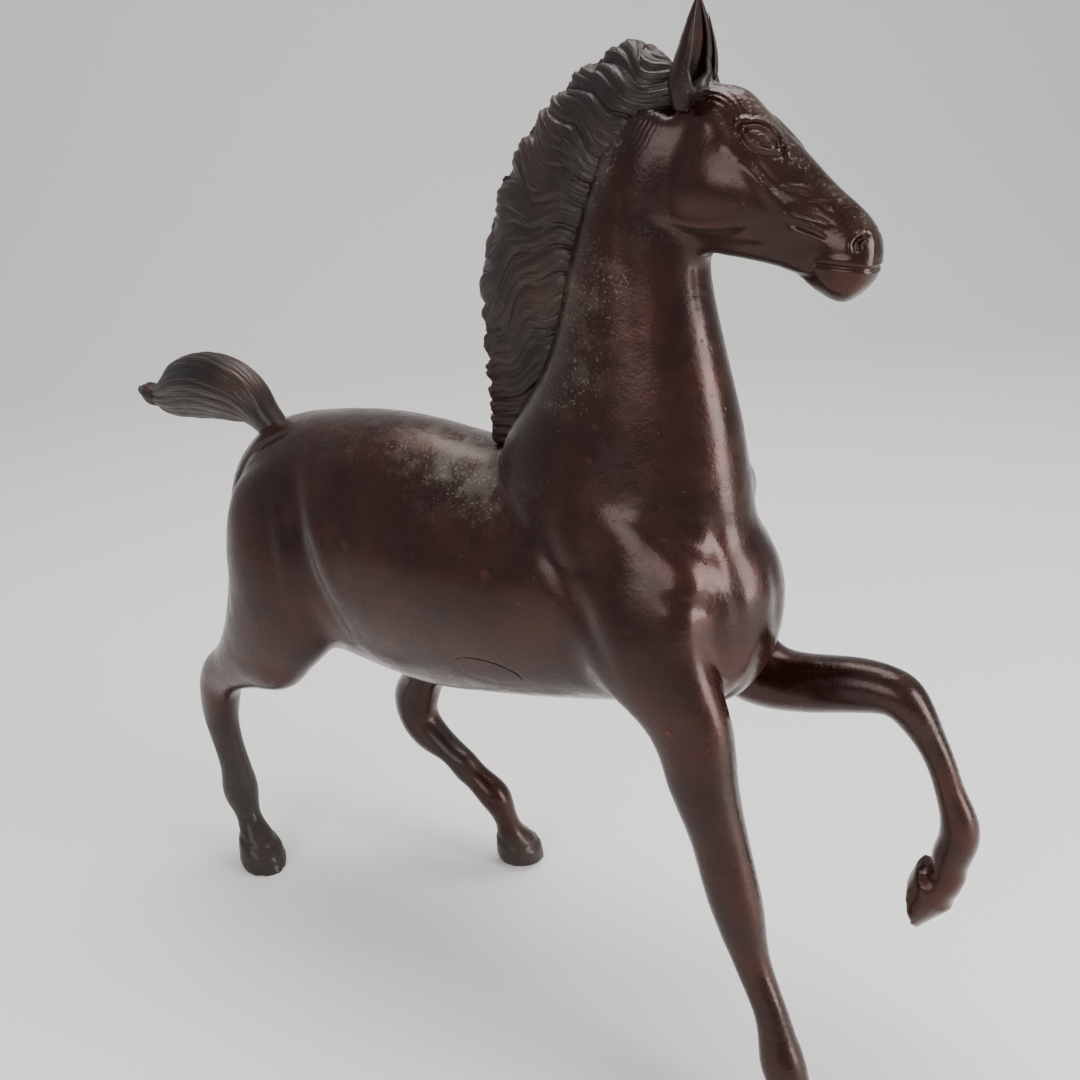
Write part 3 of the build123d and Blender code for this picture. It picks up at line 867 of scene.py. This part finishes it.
def mane_relief(l, th, q, depth):
    """Locks that sweep down and back across the mane, and the tips along its outer edge."""
    near = np.where(th < 0, 0.0, 2.7)                  # the two faces differ
    sweep_down = np.interp(l, [0, 40, 90, 130, 165, 210], [1.5, 1.15, 0.45, 0.35, 0.8, 1.3])
    wave = 3.2 * np.sin(q / 8.5 + l / 15 + near) + 1.6 * np.sin(q / 4.2 - l / 9 + near)
    g = l + sweep_down * (q + depth) + wave + near * 3
    big = ridge(g / 14 + 0.35 * np.sin(l / 17))
    mid = ridge(g / 5.2 + 0.3 * np.sin(q / 6))
    fine = np.sin(2 * np.pi * g / 1.75 + 0.8 * np.sin(q / 2.1))
    fade = smoothstep(l, 0, 14)
    rough = np.sin(l / 5.1 + q / 9) * np.sin(q / 4.3 - l / 11 + near)
    lift = fade * (2.5 * (big - 0.75) + 1.15 * (mid - 0.75) * (1 + 0.5 * rough) + 0.2 * fine)
    tipped = smoothstep(q / depth, 0.55, 1.0)
    edge = fade * tipped * (2.6 * (ridge(l / 13.5 + 0.4 * np.sin(l / 31)) - 0.7))
    return lift, edge


def tail_relief(l, th, q, depth):
    """Locks that twist along the tail."""
    twist = th + 0.010 * l + 0.16 * np.sin(l / 17)
    big = ridge(twist * 7 / (2 * np.pi))
    mid = ridge(twist * 19 / (2 * np.pi) + 0.2 * np.sin(l / 9))
    fine = np.sin(twist * 60 + 1.2 * np.sin(l / 6))
    fade = smoothstep(l, 14, 30) * (1 - 0.5 * smoothstep(l, 95, 125))
    lift = fade * (1.0 * (big - 0.7) + 0.75 * (mid - 0.75) + 0.16 * fine)
    lift -= 1.5 * np.exp(-((l - 104) / 3.0) ** 2)       # the small last lock stands apart
    lift += 0.9 * np.exp(-((l - 112) / 4.0) ** 2)
    return lift, 0 * l


def ear_piece(name, base, tip, opening):
    """A leaf of bronze rolled round its length, open to the front."""
    base, tip, opening = [np.array(p, float) for p in (base, tip, opening)]
    axis = tip - base
    length = np.linalg.norm(axis)
    axis /= length
    front = opening - axis * (opening @ axis)
    front /= np.linalg.norm(front)
    side = np.cross(axis, front)
    u = np.linspace(-0.25, 1.0, 90)                    # below 0 it runs into the head
    wide = np.interp(u, [-0.25, 0, 0.15, 0.35, 0.55, 0.75, 0.9, 0.97, 1],
                     [5.5, 8.0, 8.2, 7.7, 6.4, 4.4, 2.2, 1.0, 0.2])
    wrapped = np.interp(u, [-0.25, 0.02, 0.25, 1], [2.95, 2.5, 1.95, 1.7])
    hollow = smoothstep(u, -0.02, 0.16) * np.interp(u, [0, 0.6, 1], [0.76, 0.70, 0.45])
    steps = np.linspace(-1, 1, 26)
    rings = []
    for k in range(len(u)):
        centre = base + axis * (length * u[k]) + front * 1.6 * math.sin(math.pi * max(u[k], 0))
        ring = []
        for radius, turn in [(1.0, steps), (hollow[k], steps[::-1])]:     # outside, then inside
            a = turn * wrapped[k]
            r = wide[k] * radius
            fold = 1 + 0.035 * np.cos(9 * a) * (radius < 1)
            ring.append(centre - front * (0.82 * r * np.cos(a) * fold)[:, None]
                        + side * (r * np.sin(a) * fold)[:, None])
        rings.append(np.vstack(ring))
    return swept(name, np.array(rings))


mane = hair_piece("mane_bronze", MANE, 420, 200, mane_relief)
tail = hair_piece("tail_bronze", TAIL, 280, 200, tail_relief)
right_ear = ear_piece("right_ear_bronze", (119.4, -4.8, 408.5), (126.4, -10.0, 435.8), (1.0, -0.08, 0))
left_ear = ear_piece("left_ear_bronze", (114.8, 14.4, 407.5), (113.6, 22.6, 431.0), (1.0, 0.25, 0))
for obj, node, kind in ((mane, "mane_casting", "hair_bronze"), (tail, "tail_casting", "hair_bronze"),
                        (right_ear, "right_ear", "body_bronze"), (left_ear, "left_ear", "body_bronze")):
    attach(obj, "root")
    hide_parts(node)
    finish_piece(obj, BLACK if "hair" in kind else BROWN)

NODE_PATINA = {"mane_casting": BLACK, "tail_casting": BLACK,
               "right_ear": BROWN, "left_ear": BROWN, "core_window_patch": BROWN}
for name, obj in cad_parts.items():
    obj.data.materials.clear()
    obj.data.materials.append(NODE_PATINA.get(name, HIDDEN))

# ------------------------------------------------------------------ room, light and camera

CAMERA_PLACE = (0.309812, -0.370812, 0.4169)      # metres
YAW, PITCH, ROLL = math.radians(35.87), math.radians(-22.55), math.radians(-4.0)
LENS_MM, SENSOR_MM = 37.783, 36.0

FLOOR_FRONT, FLOOR_BACK = -2.0, 1.2               # metres from the statue, seen from the camera
FLOOR_BEND = 0.9                                  # radius of the curve up into the wall
WALL_TOP, HALF_WIDTH = 3.0, 3.0
FLOOR_DROP = 0.02                                 # millimetres below the hooves
FLOOR_COLOUR = (0.88, 0.86, 0.83, 1)
SKY_COLOUR, SKY_STRENGTH = (0.93, 0.95, 1.0, 1), 0.55


def sweep():
    """Pale floor that curves up into a wall behind the statue."""
    profile = [(FLOOR_FRONT, 0.0)]
    profile += [(FLOOR_BACK + FLOOR_BEND * math.sin(a), FLOOR_BEND - FLOOR_BEND * math.cos(a))
                for a in np.linspace(0, math.pi / 2, 24)]
    profile += [(FLOOR_BACK + FLOOR_BEND, WALL_TOP)]
    away = np.array([-math.sin(YAW), math.cos(YAW)])
    side = np.array([math.cos(YAW), math.sin(YAW)])
    verts, faces = [], []
    for i, (r, z) in enumerate(profile):
        for k in (-HALF_WIDTH, HALF_WIDTH):
            p = away * r + side * k
            verts.append((p[0] / MM, p[1] / MM, z / MM - FLOOR_DROP))
        if i:
            faces.append((2 * i - 2, 2 * i - 1, 2 * i + 1, 2 * i))
    obj = new_object("floor", new_mesh("floor", verts, faces))
    obj.data.shade_smooth()
    mat = bpy.data.materials.new("pale_floor")
    mat.use_nodes = True
    shader = mat.node_tree.nodes["Principled BSDF"]
    shader.inputs["Base Color"].default_value = FLOOR_COLOUR
    shader.inputs["Roughness"].default_value = 0.55
    obj.data.materials.append(mat)
    return obj


def area(name, where, target, size, power):
    """Rectangular lamp at one place, turned to another; metres and watts."""
    lamp = bpy.data.lights.new(name, "AREA")
    lamp.shape = "RECTANGLE"
    lamp.size, lamp.size_y = size
    lamp.energy = power
    obj = new_object(name, lamp)
    obj.location = where
    obj.rotation_euler = (Vector(target) - Vector(where)).to_track_quat("-Z", "Y").to_euler()
    return obj


stage = [
    sweep(),
    area("key", (1.15, 0.12, 0.48), (0.1, 0, 0.28), (0.45, 0.85), 15),
    area("fill", (0.05, -1.35, 0.8), (0.05, 0, 0.25), (0.9, 0.6), 7),
    area("top", (-0.1, 0.3, 1.5), (0, 0, 0.2), (1.1, 0.9), 20),
]
world = bpy.data.worlds.new("room")
bpy.context.scene.world = world
world.use_nodes = True
world.node_tree.nodes["Background"].inputs["Color"].default_value = SKY_COLOUR
world.node_tree.nodes["Background"].inputs["Strength"].default_value = SKY_STRENGTH

look = Vector((-math.sin(YAW) * math.cos(PITCH), math.cos(YAW) * math.cos(PITCH), math.sin(PITCH)))
level = look.cross(Vector((0, 0, 1))).normalized()
upward = level.cross(look)
right = level * math.cos(ROLL) + upward * math.sin(ROLL)
above = upward * math.cos(ROLL) - level * math.sin(ROLL)
turn = Matrix((right, above, -look)).transposed().to_4x4()
lens = bpy.data.cameras.new("camera")
lens.lens, lens.sensor_width = LENS_MM, SENSOR_MM
lens.clip_start, lens.clip_end = 0.01, 20.0
camera = new_object("camera", lens)
camera.matrix_world = Matrix.Translation(CAMERA_PLACE) @ turn
bpy.context.scene.camera = camera
